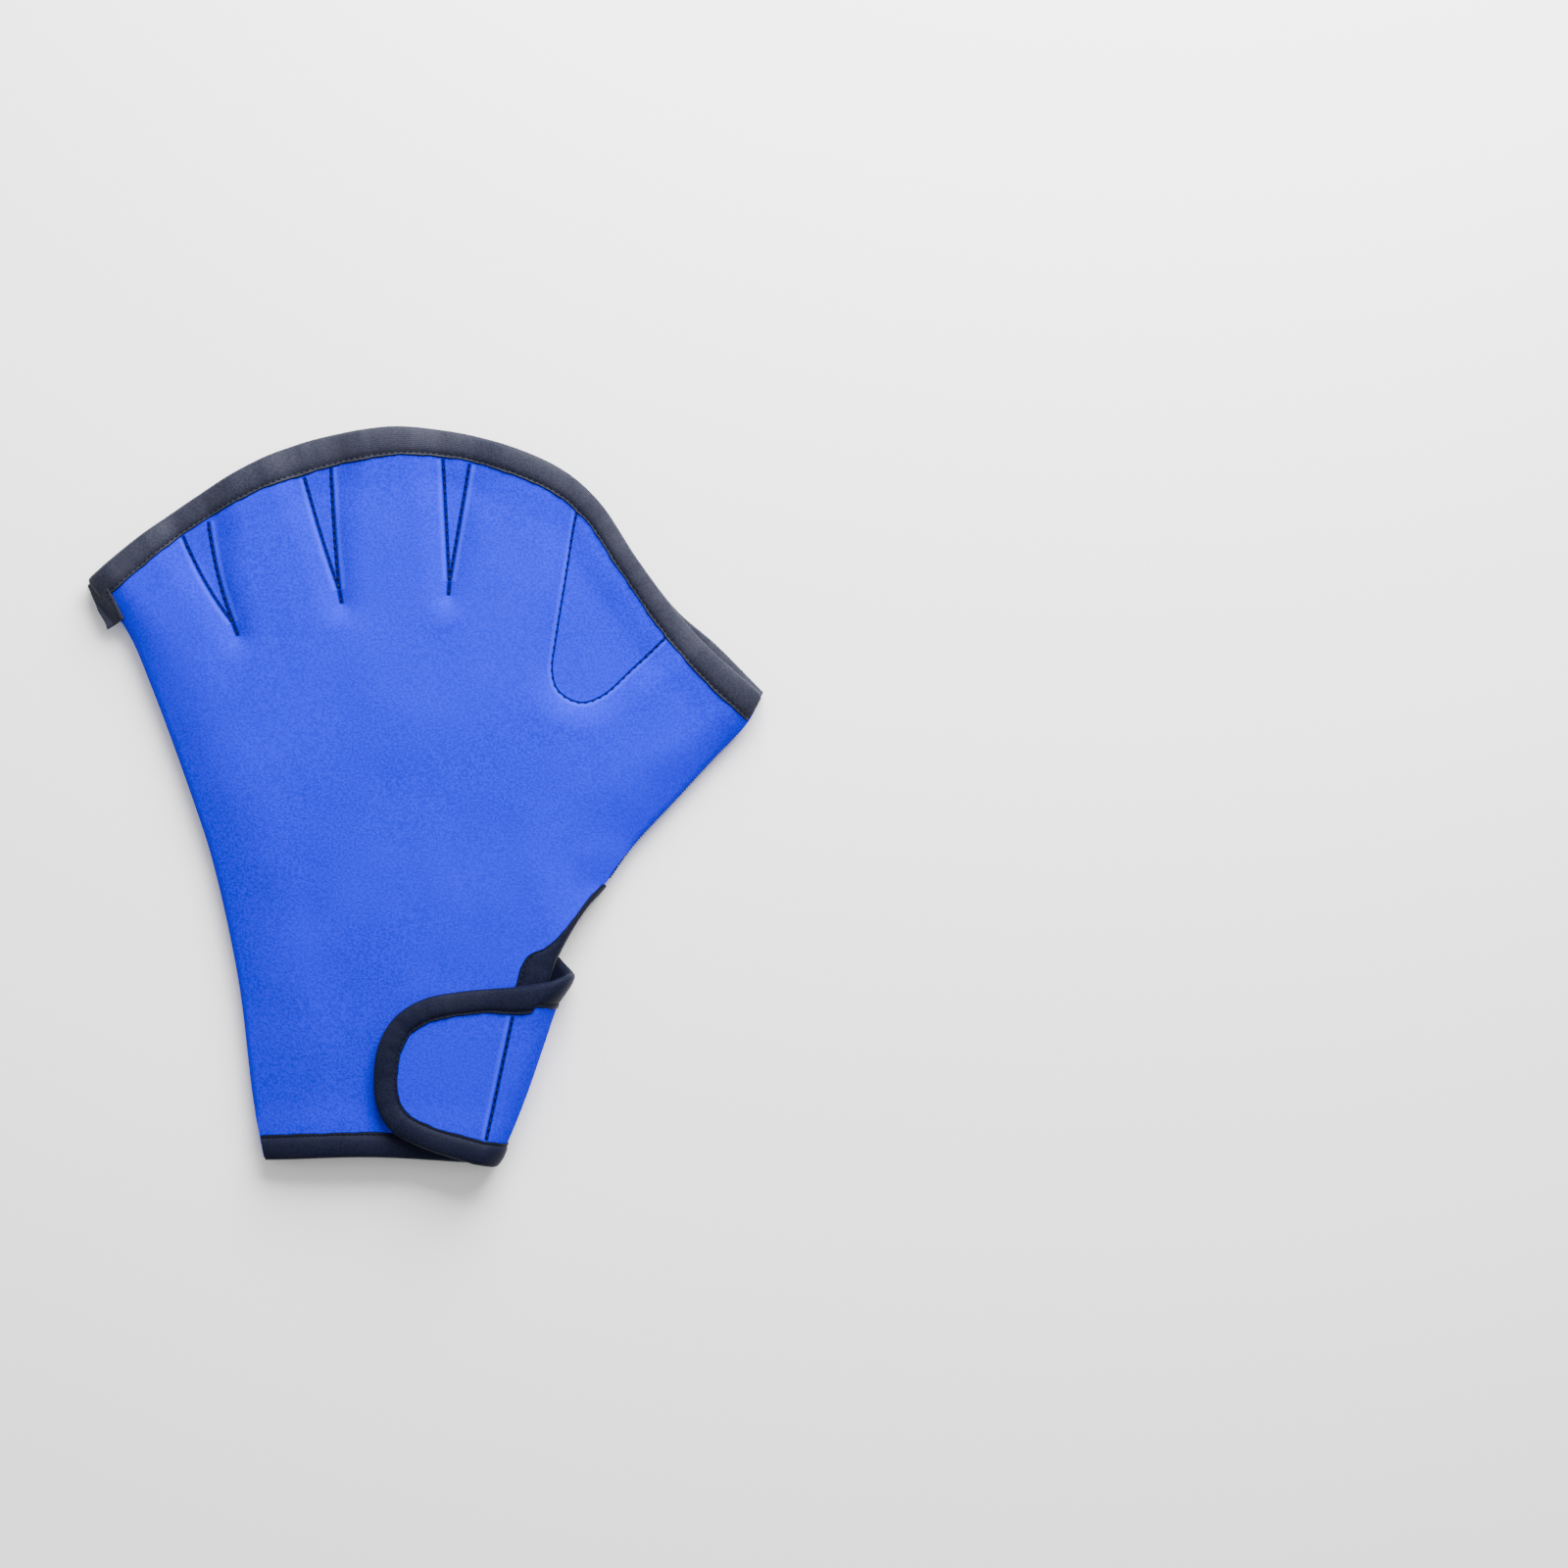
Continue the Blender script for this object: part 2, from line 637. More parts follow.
def fold_surface(share, step):
    """A point on the fold and the way to its inner side. step runs from palm 0 to tab 1."""
    share, step = np.broadcast_arrays(np.asarray(share, float), np.asarray(step, float))
    start = resample(palm_right, share.ravel() * corner_share).reshape(*share.shape, 2)
    end = resample(fold_top, share.ravel()).reshape(*share.shape, 2)
    turn = turn_at(share)
    angle = (step - 0.5) * np.pi
    low, high = palm_height(start, thick=False)[0], tab_height(end)
    outermost = mix(start, end, 0.5) + turn * FOLD_REACH
    at_corner = ease((share - CORNER_FROM) / CORNER_EASE)
    outermost = outermost - np.array([0, CORNER_DROP]) * at_corner[..., None]
    flat = np.where(angle[..., None] < 0, start, end)
    plan = flat + (outermost - flat) * np.cos(angle)[..., None]
    z = mix(low, high, (1 + np.sin(angle)) / 2)
    across = -np.cos(angle)[..., None] * turn * (high - low)[..., None] / 2
    up = -np.sin(angle) * FOLD_REACH
    normal = np.concatenate([across, up[..., None]], -1)
    normal /= np.linalg.norm(normal, axis=-1, keepdims=True)
    return np.concatenate([plan, z[..., None]], -1), normal


palm_z, palm_t = palm_height(palm_plan)
palm_points = np.concatenate([palm_plan, palm_z[..., None]], -1)
fold_share = np.linspace(0, 1, FOLD_ROWS)[:, None]
fold_points, _ = fold_surface(fold_share, np.linspace(0, 1, FOLD_STEPS + 1)[None, 1:])
fold_ends = [fold_top[0], fold_top[-1]]
tab_line = smooth_line([fold_ends[1], *shifted(places(TAB_EDGE), -TAPE_REACH), fold_ends[0]])
tab_steps = np.linspace(0, 1, TAB_STEPS + 1)
tab_top = resample(tab_line, tab_steps * TAB_CORNERS[0])
tab_bottom = resample(tab_line, 1 - tab_steps * (1 - TAB_CORNERS[1]))
tip_rows = np.linspace(TAB_CORNERS[1], TAB_CORNERS[0], FOLD_ROWS)
tab_plan = coons(
    tab_bottom,
    tab_top,
    resample(fold_top, np.linspace(0, 1, FOLD_ROWS)),
    resample(tab_line, tip_rows),
    tab_steps,
)[:, 1:]
tab_points = np.concatenate([tab_plan, tab_height(tab_plan)[..., None]], -1)
palm_index = np.arange(palm_z.size).reshape(palm_z.shape)
tail_points = np.concatenate([fold_points, tab_points], 1)
tail_index = palm_z.size + np.arange(tail_points[..., 0].size).reshape(tail_points.shape[:2])
tail_index = np.concatenate([palm_index[:FOLD_ROWS, -1:], tail_index], 1)
tail_uv = np.concatenate([fold_points[..., :2], tab_plan], 1)
blue_palm = knit("blue_knit_palm", [*web_lines, dict(HOOK_LINE, rim=-1)], "thumb_web")
palm_cloth = cloth(
    "palm_panel_cloth",
    np.vstack([palm_points.reshape(-1, 3), tail_points.reshape(-1, 3)]),
    np.concatenate([palm_t.ravel(), np.full(tail_points[..., 0].size, PANEL_T)]),
    np.vstack([grid_quads(palm_index), grid_quads(tail_index)]),
    np.vstack([palm_plan.reshape(-1, 2), tail_uv.reshape(-1, 2)]),
)
ring_attribute(palm_cloth, np.vstack([palm_plan.reshape(-1, 2), tail_uv.reshape(-1, 2)]))
palm_cloth.data.materials.append(blue_palm)
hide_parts("palm_panel")


# mouth_binding_back, mouth_binding_palm: black stretch tape folded round the finger edges.
# It is sewn through with one row of stitches near its inner edge, which pulls it in there.
# Its leg is its width on each face, and a profile's rows are shares of that and half heights.
TAPE_LEG = 6.6
FLOOR_CLEAR = 0.03
MOUTH_STEPS = 420
SMOOTHED_OVER = 25
LEAN_REACH = {"mouth": 0.1, "wrist": 0.5, "tab": 0.2}
LEAST_LEAN = 0.5
MOUTH_LEGS = [
    dict(along=0.02, leg=7.1),
    dict(along=0.06, leg=7.2),
    dict(along=0.12, leg=6.2),
    dict(along=0.20, leg=7.1),
    dict(along=0.30, leg=8.6),
    dict(along=0.42, leg=8.0),
    dict(along=0.50, leg=6.9),
    dict(along=0.62, leg=7.0),
    dict(along=0.70, leg=5.7),
    dict(along=0.78, leg=5.4),
    dict(along=0.86, leg=6.2),
    dict(along=0.92, leg=7.0),
    dict(along=0.98, leg=8.1),
]
TAPE_PROFILE = [
    (1.0, 0.85),
    (0.992, 1.2),
    (0.96, 1.52),
    (0.92, 1.52),
    (0.875, 1.22),
    (0.83, 1.5),
    (0.75, 1.84),
    (0.6, 2.05),
    (0.4, 2.1),
    (0.2, 2.0),
    (0.05, 1.78),
]
TAPE_NOSE = [(0.3, 1.55), (0.65, 1.15), (0.85, 0.7), (0.95, 0.25)]
SECTION = [(share, 0.0, off) for share, off in TAPE_PROFILE]
SECTION += [(0.0, out, off) for out, off in TAPE_NOSE]
SECTION += [(share, out, -off) for share, out, off in SECTION[::-1]]
STITCHED = 4
MIDWAY, NOSE, OUTERMOST = 8, 13, 14
TAPE_WAVES = [
    dict(length=23, size=0.05),
    dict(length=9.5, size=0.045),
    dict(length=4.6, size=0.025),
]
ANY_PHASE = 6.28
LEG_PUFF = 0.6
INNER_FROM, INNER_WAVE = 0.9, 1.6


def tape_surface(edge, inward, leg, height):
    """Lays the tape's section along an edge on a height surface. inward is per millimetre in."""
    share = np.array([s for s, _, _ in SECTION])
    depth = share[None, :] * np.asarray(leg)[:, None]
    plan = edge[:, None] + inward[:, None] * depth[..., None]
    z = height(plan)
    low = height(plan - np.array([NEARBY, 0]))
    high = height(plan + np.array([NEARBY, 0]))
    back = height(plan - np.array([0, NEARBY]))
    fore = height(plan + np.array([0, NEARBY]))
    normal = np.stack([low - high, back - fore, np.full(z.shape, 2 * NEARBY)], -1)
    normal /= np.linalg.norm(normal, axis=-1, keepdims=True)
    points = np.concatenate([plan, z[..., None]], -1)
    return points, normal


def tape_points(base, normal, seed):
    """Section points about the base surface, with the slight unevenness of sewn tape."""
    rng = np.random.default_rng(seed)
    out = base[:, NOSE] - base[:, MIDWAY]
    steps = np.linalg.norm(np.diff(base[:, OUTERMOST], axis=0), axis=1)
    run = np.concatenate([[0], np.cumsum(steps)])
    wave = np.zeros(len(base))
    for row in TAPE_WAVES:
        phase = rng.uniform(0, ANY_PHASE)
        wave += row["size"] * np.sin(run * 2 * np.pi / row["length"] + phase)
    out -= normal[:, NOSE] * (out * normal[:, NOSE]).sum(1, keepdims=True)
    out /= np.linalg.norm(out, axis=1, keepdims=True)
    points = np.empty_like(base)
    for k, (share, reach, off) in enumerate(SECTION):
        puff = 1 + wave * (LEG_PUFF if share else 1.0)
        points[:, k] = base[:, k] + normal[:, k] * (off * puff)[:, None] + out * reach
        if share > INNER_FROM:
            points[:, k] -= out * (INNER_WAVE * wave)[:, None]
    return points, run


def tape_mesh(name, points, run, material):
    """A length of tape, pressed flat where it lies on the floor."""
    points = points.copy()
    points[..., 2] = np.maximum(points[..., 2], FLOOR_CLEAR)
    count, size = points.shape[:2]
    index = np.arange(count * size).reshape(count, size)
    looped = np.concatenate([index, index[:, :1]], 1)
    faces = [tuple(f) for f in grid_quads(looped)]
    faces += [tuple(index[0]), tuple(index[-1][::-1])]
    across = np.array([s * TAPE_LEG - r for s, r, _ in SECTION]) * np.sign(
        [off for _, _, off in SECTION]
    )
    uv = np.stack(np.broadcast_arrays(run[:, None], across[None, :]), -1).reshape(-1, 2)
    piece = solid(name, points.reshape(-1, 3), faces, uv)
    piece.data.materials.append(material)
    return piece


TAPE_LIP = (0.0006, 0.0007, 0.004, 1.0)
LIP_SHARE = 0.9
TAPE_SCALE = {"ribs": 700.0, "grain": 1700.0, "patches": 60.0}


def tape_material(name, deep, light, worn, shine):
    """Charcoal stretch tape: fine ribs along it, worn patches and a dark inner edge."""
    n = Nodes(name)
    uv = n.add("ShaderNodeUVMap", uv_map="run").outputs[0]
    place = n.add("ShaderNodeTexCoord").outputs["Object"]
    across = n.add("ShaderNodeSeparateXYZ", {0: uv}).outputs[1]
    ribs = n.add(
        "ShaderNodeTexWave",
        {0: uv, "Scale": TAPE_SCALE["ribs"], "Distortion": 1.2, "Detail": 1.0},
        bands_direction="Y",
    ).outputs["Fac"]
    grain = n.noise(place, TAPE_SCALE["grain"], 2.0)
    patches = n.noise(place, TAPE_SCALE["patches"], 3.0)
    base = n.mixed(n.band(grain, 0.3, 0.7), (*deep, 1), (*light, 1))
    base = n.mixed(n.band(patches, 0.35, 0.75, 0.0, 0.35), base, (*worn, 1))
    lip = n.band(n.math("ABSOLUTE", across), 0.95 * TAPE_LEG * MM, 0.98 * TAPE_LEG * MM)
    base = n.mixed(n.math("MULTIPLY", lip, LIP_SHARE), base, TAPE_LIP)
    height = n.math("ADD", n.math("MULTIPLY", ribs, 0.5), n.math("MULTIPLY", grain, 0.7))
    bump = n.add("ShaderNodeBump", {"Strength": 0.45, "Distance": 0.00012, "Height": height})
    n.set(Base_Color=base, Roughness=0.6, Normal=bump.outputs[0], Specular_IOR_Level=shine)
    n.set(Sheen_Weight=shine / 2, Sheen_Roughness=0.4, Sheen_Tint=(0.8, 0.85, 1.0, 1.0))
    return n.material


tape_worn = tape_material(
    "black_binding_tape_worn",
    deep=(0.0080, 0.0090, 0.0180),
    light=(0.0170, 0.0190, 0.0340),
    worn=(0.0300, 0.0310, 0.0450),
    shine=0.12,
)
tape_black = tape_material(
    "black_binding_tape",
    deep=(0.0022, 0.0030, 0.0105),
    light=(0.0052, 0.0068, 0.0210),
    worn=(0.0110, 0.0125, 0.0260),
    shine=0.06,
)


def skewed(normal, ends, shares, reach):
    """Leans an edge's inward ways at its two ends to meet the sides there."""
    out = normal.copy()
    for way, at, share in ((ends[0], 0, shares), (ends[1], -1, 1 - shares)):
        lean = way / max(LEAST_LEAN, way @ normal[at])
        out += (lean - normal[at]) * (1 - ease(share / reach))[:, None]
    return out


def edge_tape(line, ends, height, legs, reach, seed, flip):
    """Tape along an edge, with its width given at even shares of the edge."""
    shares = np.linspace(0, 1, len(legs))
    edge = resample(line, shares)
    normal = to_right(headings(edge)) * flip
    inward = skewed(normal, ends, shares, reach)
    base, up = tape_surface(edge, inward, legs, height)
    return tape_points(base, up, seed)


def side_ways(side, at):
    ways = [headings(left_of[side])[at], headings(right_of[side])[at]]
    return [w * (1 if at == 0 else -1) for w in ways]


mouth_tapes = {}
mouth_legs = np.interp(
    np.linspace(0, 1, MOUTH_STEPS),
    [row["along"] for row in MOUTH_LEGS],
    [row["leg"] for row in MOUTH_LEGS],
)
window = np.full(SMOOTHED_OVER, 1 / SMOOTHED_OVER)
mouth_legs = np.pad(mouth_legs, SMOOTHED_OVER // 2, mode="edge")
mouth_legs = np.convolve(mouth_legs, window, mode="valid")
for side, height, seed in (("back", back_only, 11), ("palm", palm_only, 12)):
    ends = side_ways(side, -1)
    points, run = edge_tape(
        mouth_of[side], ends, height, mouth_legs, LEAN_REACH["mouth"], seed, flip=1
    )
    mouth_tapes[side] = points
    piece = tape_mesh(f"mouth_binding_{side}_tape", points, run, tape_worn)
    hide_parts(f"mouth_binding_{side}")


# wrist_binding_back: the same tape round the wrist edge of the back panel. It is sewn on in one
# straight run from the little-finger side to the slit, and its thumb end lies under the tab.
WRIST_STEPS = 110
wrist_legs = np.full(WRIST_STEPS, TAPE_LEG)
wrist_points, wrist_run = edge_tape(
    wrist_of["back"],
    side_ways("back", 0),
    back_only,
    wrist_legs,
    LEAN_REACH["wrist"],
    seed=13,
    flip=-1,
)
wrist_tape = tape_mesh("wrist_binding_back_tape", wrist_points, wrist_run, tape_black)
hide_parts("wrist_binding_back")


# slit_binding: tape round the back's edge of the open slit. It narrows up to the side seam,
# spreads at the corner of the slit, and runs on under the tab to the wrist. Each row gives a
# place on the edge and the tip of the tape's leg there.
SLIT_STEPS = 170
SLIT_SEWN = 120
SLIT_TAPE = [
    dict(x=19.0, y=-98.0, tip_x=10.6, tip_y=-95.2),
    dict(x=26.4, y=-77.0, tip_x=18.0, tip_y=-74.4),
    dict(x=32.6, y=-60.8, tip_x=24.9, tip_y=-58.0),
    dict(x=34.9, y=-54.8, tip_x=26.7, tip_y=-53.9),
    dict(x=35.9, y=-51.8, tip_x=28.0, tip_y=-49.2),
    dict(x=36.6, y=-49.6, tip_x=29.6, tip_y=-46.4),
    dict(x=37.4, y=-47.2, tip_x=31.9, tip_y=-44.9),
    dict(x=38.3, y=-45.2, tip_x=34.9, tip_y=-43.8),
    dict(x=40.5, y=-41.0, tip_x=38.8, tip_y=-40.4),
    dict(x=42.9, y=-37.0, tip_x=42.0, tip_y=-36.7),
    dict(x=46.9, y=-31.1, tip_x=46.4, tip_y=-30.8),
    dict(x=51.8, y=-25.2, tip_x=51.5, tip_y=-24.9),
]
slit_both = np.array([[r["x"], r["y"], r["tip_x"], r["tip_y"]] for r in SLIT_TAPE])
slit_fine = smooth_line(slit_both, SLIT_STEPS)
slit_leg = np.linalg.norm(slit_fine[:, 2:] - slit_fine[:, :2], axis=1)
slit_in = (slit_fine[:, 2:] - slit_fine[:, :2]) / slit_leg[:, None]
slit_base, slit_up = tape_surface(slit_fine[:, :2], slit_in, slit_leg, back_only)
slit_points, slit_run = tape_points(slit_base, slit_up, seed=14)
slit_tape = tape_mesh("slit_binding_tape", slit_points, slit_run, tape_black)
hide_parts("slit_binding")


# tab_binding: one length of tape, sewn from the palm side of the slit, over the fold, round the
# tab, back over the fold and along the palm's wrist edge. Its leg grows from the slit's upper
# end to the corner, is widest under the fold at the top, and then narrows round the tab.
SLIT_LEG = {"top": 0.5, "corner": 6.5}
SLIT_LEG_CURVE = 1.6
TOP_CROSSING = 7.8
WIDER_UNDER = 4.6
TAB_LEG = 6.2
TAB_LEG_AT = (0, 0.14, 0.86, 1)
PALM_SLIT_STEPS, CORNER_STEPS, TAB_TAPE_STEPS, FOLD_TAPE_STEPS = 60, 16, 260, 24
fold_length = np.linalg.norm(np.diff(fold_top, axis=0), axis=1).sum()


def fold_tape(at_top, steps):
    """The tape over the fold, at its top or at the wrist. steps run as in fold_surface."""
    depth = np.array([s for s, _, _ in SECTION])[None, :] / fold_length
    if not at_top:
        return fold_surface(depth * TAPE_LEG, steps[:, None])
    leg = TOP_CROSSING + WIDER_UNDER * np.sin(np.clip(2 - 2 * steps, 0, 1) * np.pi / 2)
    return fold_surface(1 - depth * leg[:, None], steps[:, None])


def palm_slit_tape():
    along = np.linspace(0, 1, PALM_SLIT_STEPS)
    top_share = nearest_step(palm_right, places(THUMB_SIDE)[0]) / LINE_STEPS
    edge = resample(palm_right, mix(top_share, corner_share, along))
    inward = to_right(headings(edge))
    leg = mix(SLIT_LEG["top"], SLIT_LEG["corner"], along**SLIT_LEG_CURVE)
    return tape_surface(edge, inward, leg, palm_only)


def corner_tape(before=0.02, after=0.01, pull=0.05):
    """The tape spreads round the inner corner between the slit and the fold."""
    first = to_right(headings(resample(palm_right, [corner_share + after, corner_share])))[0]
    last = resample(palm_right, [corner_share - before])[0] - slit_corner
    angles = [np.arctan2(v[1], v[0]) % (2 * np.pi) for v in (first, last)]
    spread = np.linspace(*angles, CORNER_STEPS)[1:-1]
    inward = np.stack([np.cos(spread), np.sin(spread)], 1)
    edge = np.repeat(slit_corner[None], len(spread), 0) - inward * pull
    legs = np.linspace(SLIT_LEG["corner"], TOP_CROSSING + WIDER_UNDER, len(spread))
    return tape_surface(edge, inward, legs, palm_only)


def tab_tape():
    shares = np.linspace(0, 1, TAB_TAPE_STEPS)
    edge = resample(tab_line, shares)
    normal = -to_right(headings(edge))
    inner = resample(fold_top, [1 - TOP_CROSSING / fold_length, TAPE_LEG / fold_length])
    legs = np.interp(shares, TAB_LEG_AT, (TOP_CROSSING, TAB_LEG, TAB_LEG, TAPE_LEG))
    ends = [(inner[0] - fold_top[-1]) / TOP_CROSSING, (inner[1] - fold_top[0]) / TAPE_LEG]
    inward = skewed(normal, ends, shares, LEAN_REACH["tab"])
    base, up = tape_surface(edge, inward, legs, tab_height)
    return base, -up


def palm_wrist_tape():
    shares = np.linspace(0, 1, WRIST_STEPS)
    edge = resample(wrist_of["palm"], shares)
    normal = -to_right(headings(edge))
    inward = skewed(normal, side_ways("palm", 0), shares, LEAN_REACH["wrist"])
    base, up = tape_surface(edge, inward, wrist_legs, palm_only)
    return base[::-1], up[::-1]


arc = np.linspace(0, 1, FOLD_TAPE_STEPS)
parts = [
    palm_slit_tape(),
    corner_tape(),
    fold_tape(True, arc),
    [v[1:-1] for v in tab_tape()],
    fold_tape(False, arc[::-1]),
    [v[1:] for v in palm_wrist_tape()],
]
tab_base = np.concatenate([p[0] for p in parts])
tab_up = np.concatenate([p[1] for p in parts])
tab_tape_points, tab_run = tape_points(tab_base, tab_up, seed=15)
tab_piece = tape_mesh("tab_binding_tape", tab_tape_points, tab_run, tape_black)
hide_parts("tab_binding")


# binding_end: the cut end of the finger-edge tape, folded round the little-finger side and sewn
# down there. It runs a little way in over the back and stands out past the side seam.
END_FROM, END_LENGTH = 0.5, 14.3
END_INNER = (4.2, 0.9)
END_OUTER = (1.0, 5.8)
END_SPREAD = 0.8
END_T = 1.3
END_SUNK = 0.1
END_WAVE = dict(size=0.25, turns=9)
END_DROOP = dict(way=(0.3, 0.6), curve=1.5)
END_INSIDE = 0.2
END_FALL = dict(above_seam=1.0, start=0.9, length=4.0)
END_UV = 1.0
end_rows = np.linspace(0, 1, 40)
end_cols = np.linspace(0, 1, 26)
left_line = left_of["back"]
left_length = np.linalg.norm(np.diff(left_line, axis=0), axis=1).sum()
end_edge = resample(left_line, 1 - (END_FROM + END_LENGTH * end_rows) / left_length)
end_out = to_right(headings(end_edge))
outer = mix(END_OUTER[0], END_OUTER[1], end_rows**END_SPREAD)
inner = mix(END_INNER[0], END_INNER[1], end_rows)
reach = mix(-inner[:, None], outer[:, None], end_cols[None, :])
reach = reach - END_WAVE["size"] * np.sin(end_rows * END_WAVE["turns"])[:, None] * end_cols
end_plan = end_edge[:, None] + end_out[:, None] * reach[..., None]
end_droop = (end_cols ** END_DROOP["curve"])[None, :, None] * np.array(END_DROOP["way"])
end_plan += end_droop * end_rows[:, None, None]
end_inside = end_edge[:, None] + end_out[:, None] * np.minimum(reach, -END_INSIDE)[..., None]
end_top = back_height(end_inside)[0] + PANEL_T / 2 + END_T / 2 - END_SUNK
end_fallen = ease((reach + END_FALL["start"]) / END_FALL["length"])
end_z = mix(end_top, SEAM_HEIGHT + END_FALL["above_seam"], end_fallen)
end_run = np.broadcast_to(END_LENGTH * end_rows[:, None], reach.shape)
end_cloth = cloth(
    "binding_end_tape",
    np.concatenate([end_plan, end_z[..., None]], -1).reshape(-1, 3),
    np.full(end_z.size, END_T),
    grid_quads(np.arange(end_z.size).reshape(end_z.shape)),
    np.stack([end_run, reach - END_UV], -1).reshape(-1, 2),
)
end_cloth.data.materials.append(tape_worn)
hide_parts("binding_end")


# hook_patch: the hooked fastening sewn under the tab, out of sight when it is closed. It is a
# thin woven tape with a hooked face that grips the knit of the back.
PATCH_T = 0.7
PATCH_UNDER_TAB = 1.65
PATCH_ALONG = (0.16, 0.84)
PATCH_ACROSS = (0.16, 0.8)
PATCH_STEPS = 40
patch_ends = [
    resample(tab_plan[int(r * (FOLD_ROWS - 1))], PATCH_ACROSS)
    for r in np.linspace(*PATCH_ALONG, PATCH_STEPS)
]
patch_steps = np.linspace(0, 1, PATCH_STEPS)[:, None]
patch_plan = np.stack([mix(start, end, patch_steps) for start, end in patch_ends])
patch_z = tab_height(patch_plan) - PATCH_UNDER_TAB
hook_cloth = cloth(
    "hook_patch_cloth",
    np.concatenate([patch_plan, patch_z[..., None]], -1).reshape(-1, 3),
    np.full(patch_z.size, PATCH_T),
    grid_quads(np.arange(patch_z.size).reshape(patch_z.shape)),
    patch_plan.reshape(-1, 2),
)
hooks = Nodes("black_hook_tape")
hook_place = hooks.add("ShaderNodeTexCoord").outputs["Object"]
hook_dots = hooks.add("ShaderNodeTexVoronoi", {0: hook_place, "Scale": 900.0}).outputs[0]
hook_bump = hooks.add("ShaderNodeBump", {"Strength": 0.9, "Distance": 0.0005, "Height": hook_dots})
hooks.set(Base_Color=(0.018, 0.018, 0.022, 1.0), Roughness=0.6, Normal=hook_bump.outputs[0])
hook_cloth.data.materials.append(hooks.material)
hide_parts("hook_patch")


# Thread: black lockstitches through the tapes, the webs, the tab and the two side seams. Each
# stitch is a short polyester thread that comes up out of the cloth and goes down into it again.
THREAD_SIDES, THREAD_RINGS = 6, 5


def stitches(name, lines, pitch, length, radius, material):
    """Rows of short threads that rise out of the cloth and sink back into it."""
    ring = np.linspace(0, 2 * np.pi, THREAD_SIDES, endpoint=False)
    knots = np.linspace(0, 1, THREAD_RINGS)
    each = THREAD_SIDES * THREAD_RINGS
    swell = radius * np.array([0.55, 0.95, 1.0, 0.95, 0.55])
    rise = radius * np.array([-0.9, 0.25, 0.6, 0.25, -0.9])
    points, faces = [], []
    for line, normal in lines:
        steps = np.linalg.norm(np.diff(line, axis=0), axis=1)
        total = steps.sum()
        both = np.concatenate([line, normal], 1)
        run = np.concatenate([[0], np.cumsum(steps)])
        for k in range(int(total / pitch)):
            at = (k + 0.5) * pitch + (knots - 0.5) * length
            row = np.stack([np.interp(at, run, column) for column in both.T], 1)
            centre, up = row[:, :3], row[:, 3:]
            up = up / np.linalg.norm(up, axis=1, keepdims=True)
            way = centre[-1] - centre[0]
            side = np.cross(way / np.linalg.norm(way), up)
            start = len(points) * each
            cos, sin = np.cos(ring)[None, :, None], np.sin(ring)[None, :, None]
            round_it = cos * side[:, None] + sin * up[:, None]
            middle = centre[:, None] + (up * rise[:, None])[:, None]
            shell = middle + swell[:, None, None] * round_it
            points.append(shell.reshape(-1, 3))
            index = start + np.arange(each).reshape(THREAD_RINGS, THREAD_SIDES)
            looped = np.concatenate([index, index[:, :1]], 1)
            faces += [tuple(f) for f in grid_quads(looped)]
            faces += [tuple(index[0][::-1]), tuple(index[-1])]
    piece = solid(name, np.vstack(points), faces)
    piece.data.materials.append(material)
    return piece


def tape_row(points, section):
    """The line of a tape's stitches and its way out, for one of the section's points."""
    line = points[:, section]
    along = np.gradient(line, axis=0)
    across = points[:, section - 2] - points[:, section + 2]
    normal = np.cross(along, across)
    normal /= np.linalg.norm(normal, axis=1, keepdims=True)
    middle = points[:, len(SECTION) // 2 - 2 : len(SECTION) // 2 + 2].mean(1)
    outward = ((line - middle) * normal).sum(1, keepdims=True)
    return line, normal * np.where(outward < 0, -1, 1)


thread = Nodes("black_thread")
thread.set(Base_Color=(0.002, 0.002, 0.004, 1.0), Roughness=0.6, Specular_IOR_Level=0.1)
rows_of_tape = []
for points in (
    mouth_tapes["back"],
    mouth_tapes["palm"],
    wrist_points,
    slit_points[:SLIT_SEWN],
    tab_tape_points[PALM_SLIT_STEPS:],
):
    rows_of_tape.append(tape_row(points, STITCHED))
    rows_of_tape.append(tape_row(points, len(SECTION) - 1 - STITCHED))
stitches(
    "tape_stitches",
    rows_of_tape,
    pitch=1.75,
    length=1.3,
    radius=0.2,
    material=thread.material,
)


def on_back(plan, lift):
    """A line laid on the back's upper face, and the way up from it."""
    z = back_height(plan)[0] + lift
    low = back_height(plan - np.array([NEARBY, 0]))[0]
    high = back_height(plan + np.array([NEARBY, 0]))[0]
    slope = (low - high) / (2 * NEARBY)
    normal = np.stack([slope, np.zeros(len(plan)), np.ones(len(plan))], 1)
    return np.concatenate([plan, z[:, None]], 1), normal


def bowed(start, end, bow, count=60):
    """A line that bends sideways by its bow at its middle."""
    s = np.linspace(0, 1, count)[:, None]
    way = np.subtract(end, start)
    side = np.array([way[1], -way[0]]) / np.linalg.norm(way)
    return mix(np.array(start, float), np.array(end, float), s) + side * bow * 4 * s * (1 - s)


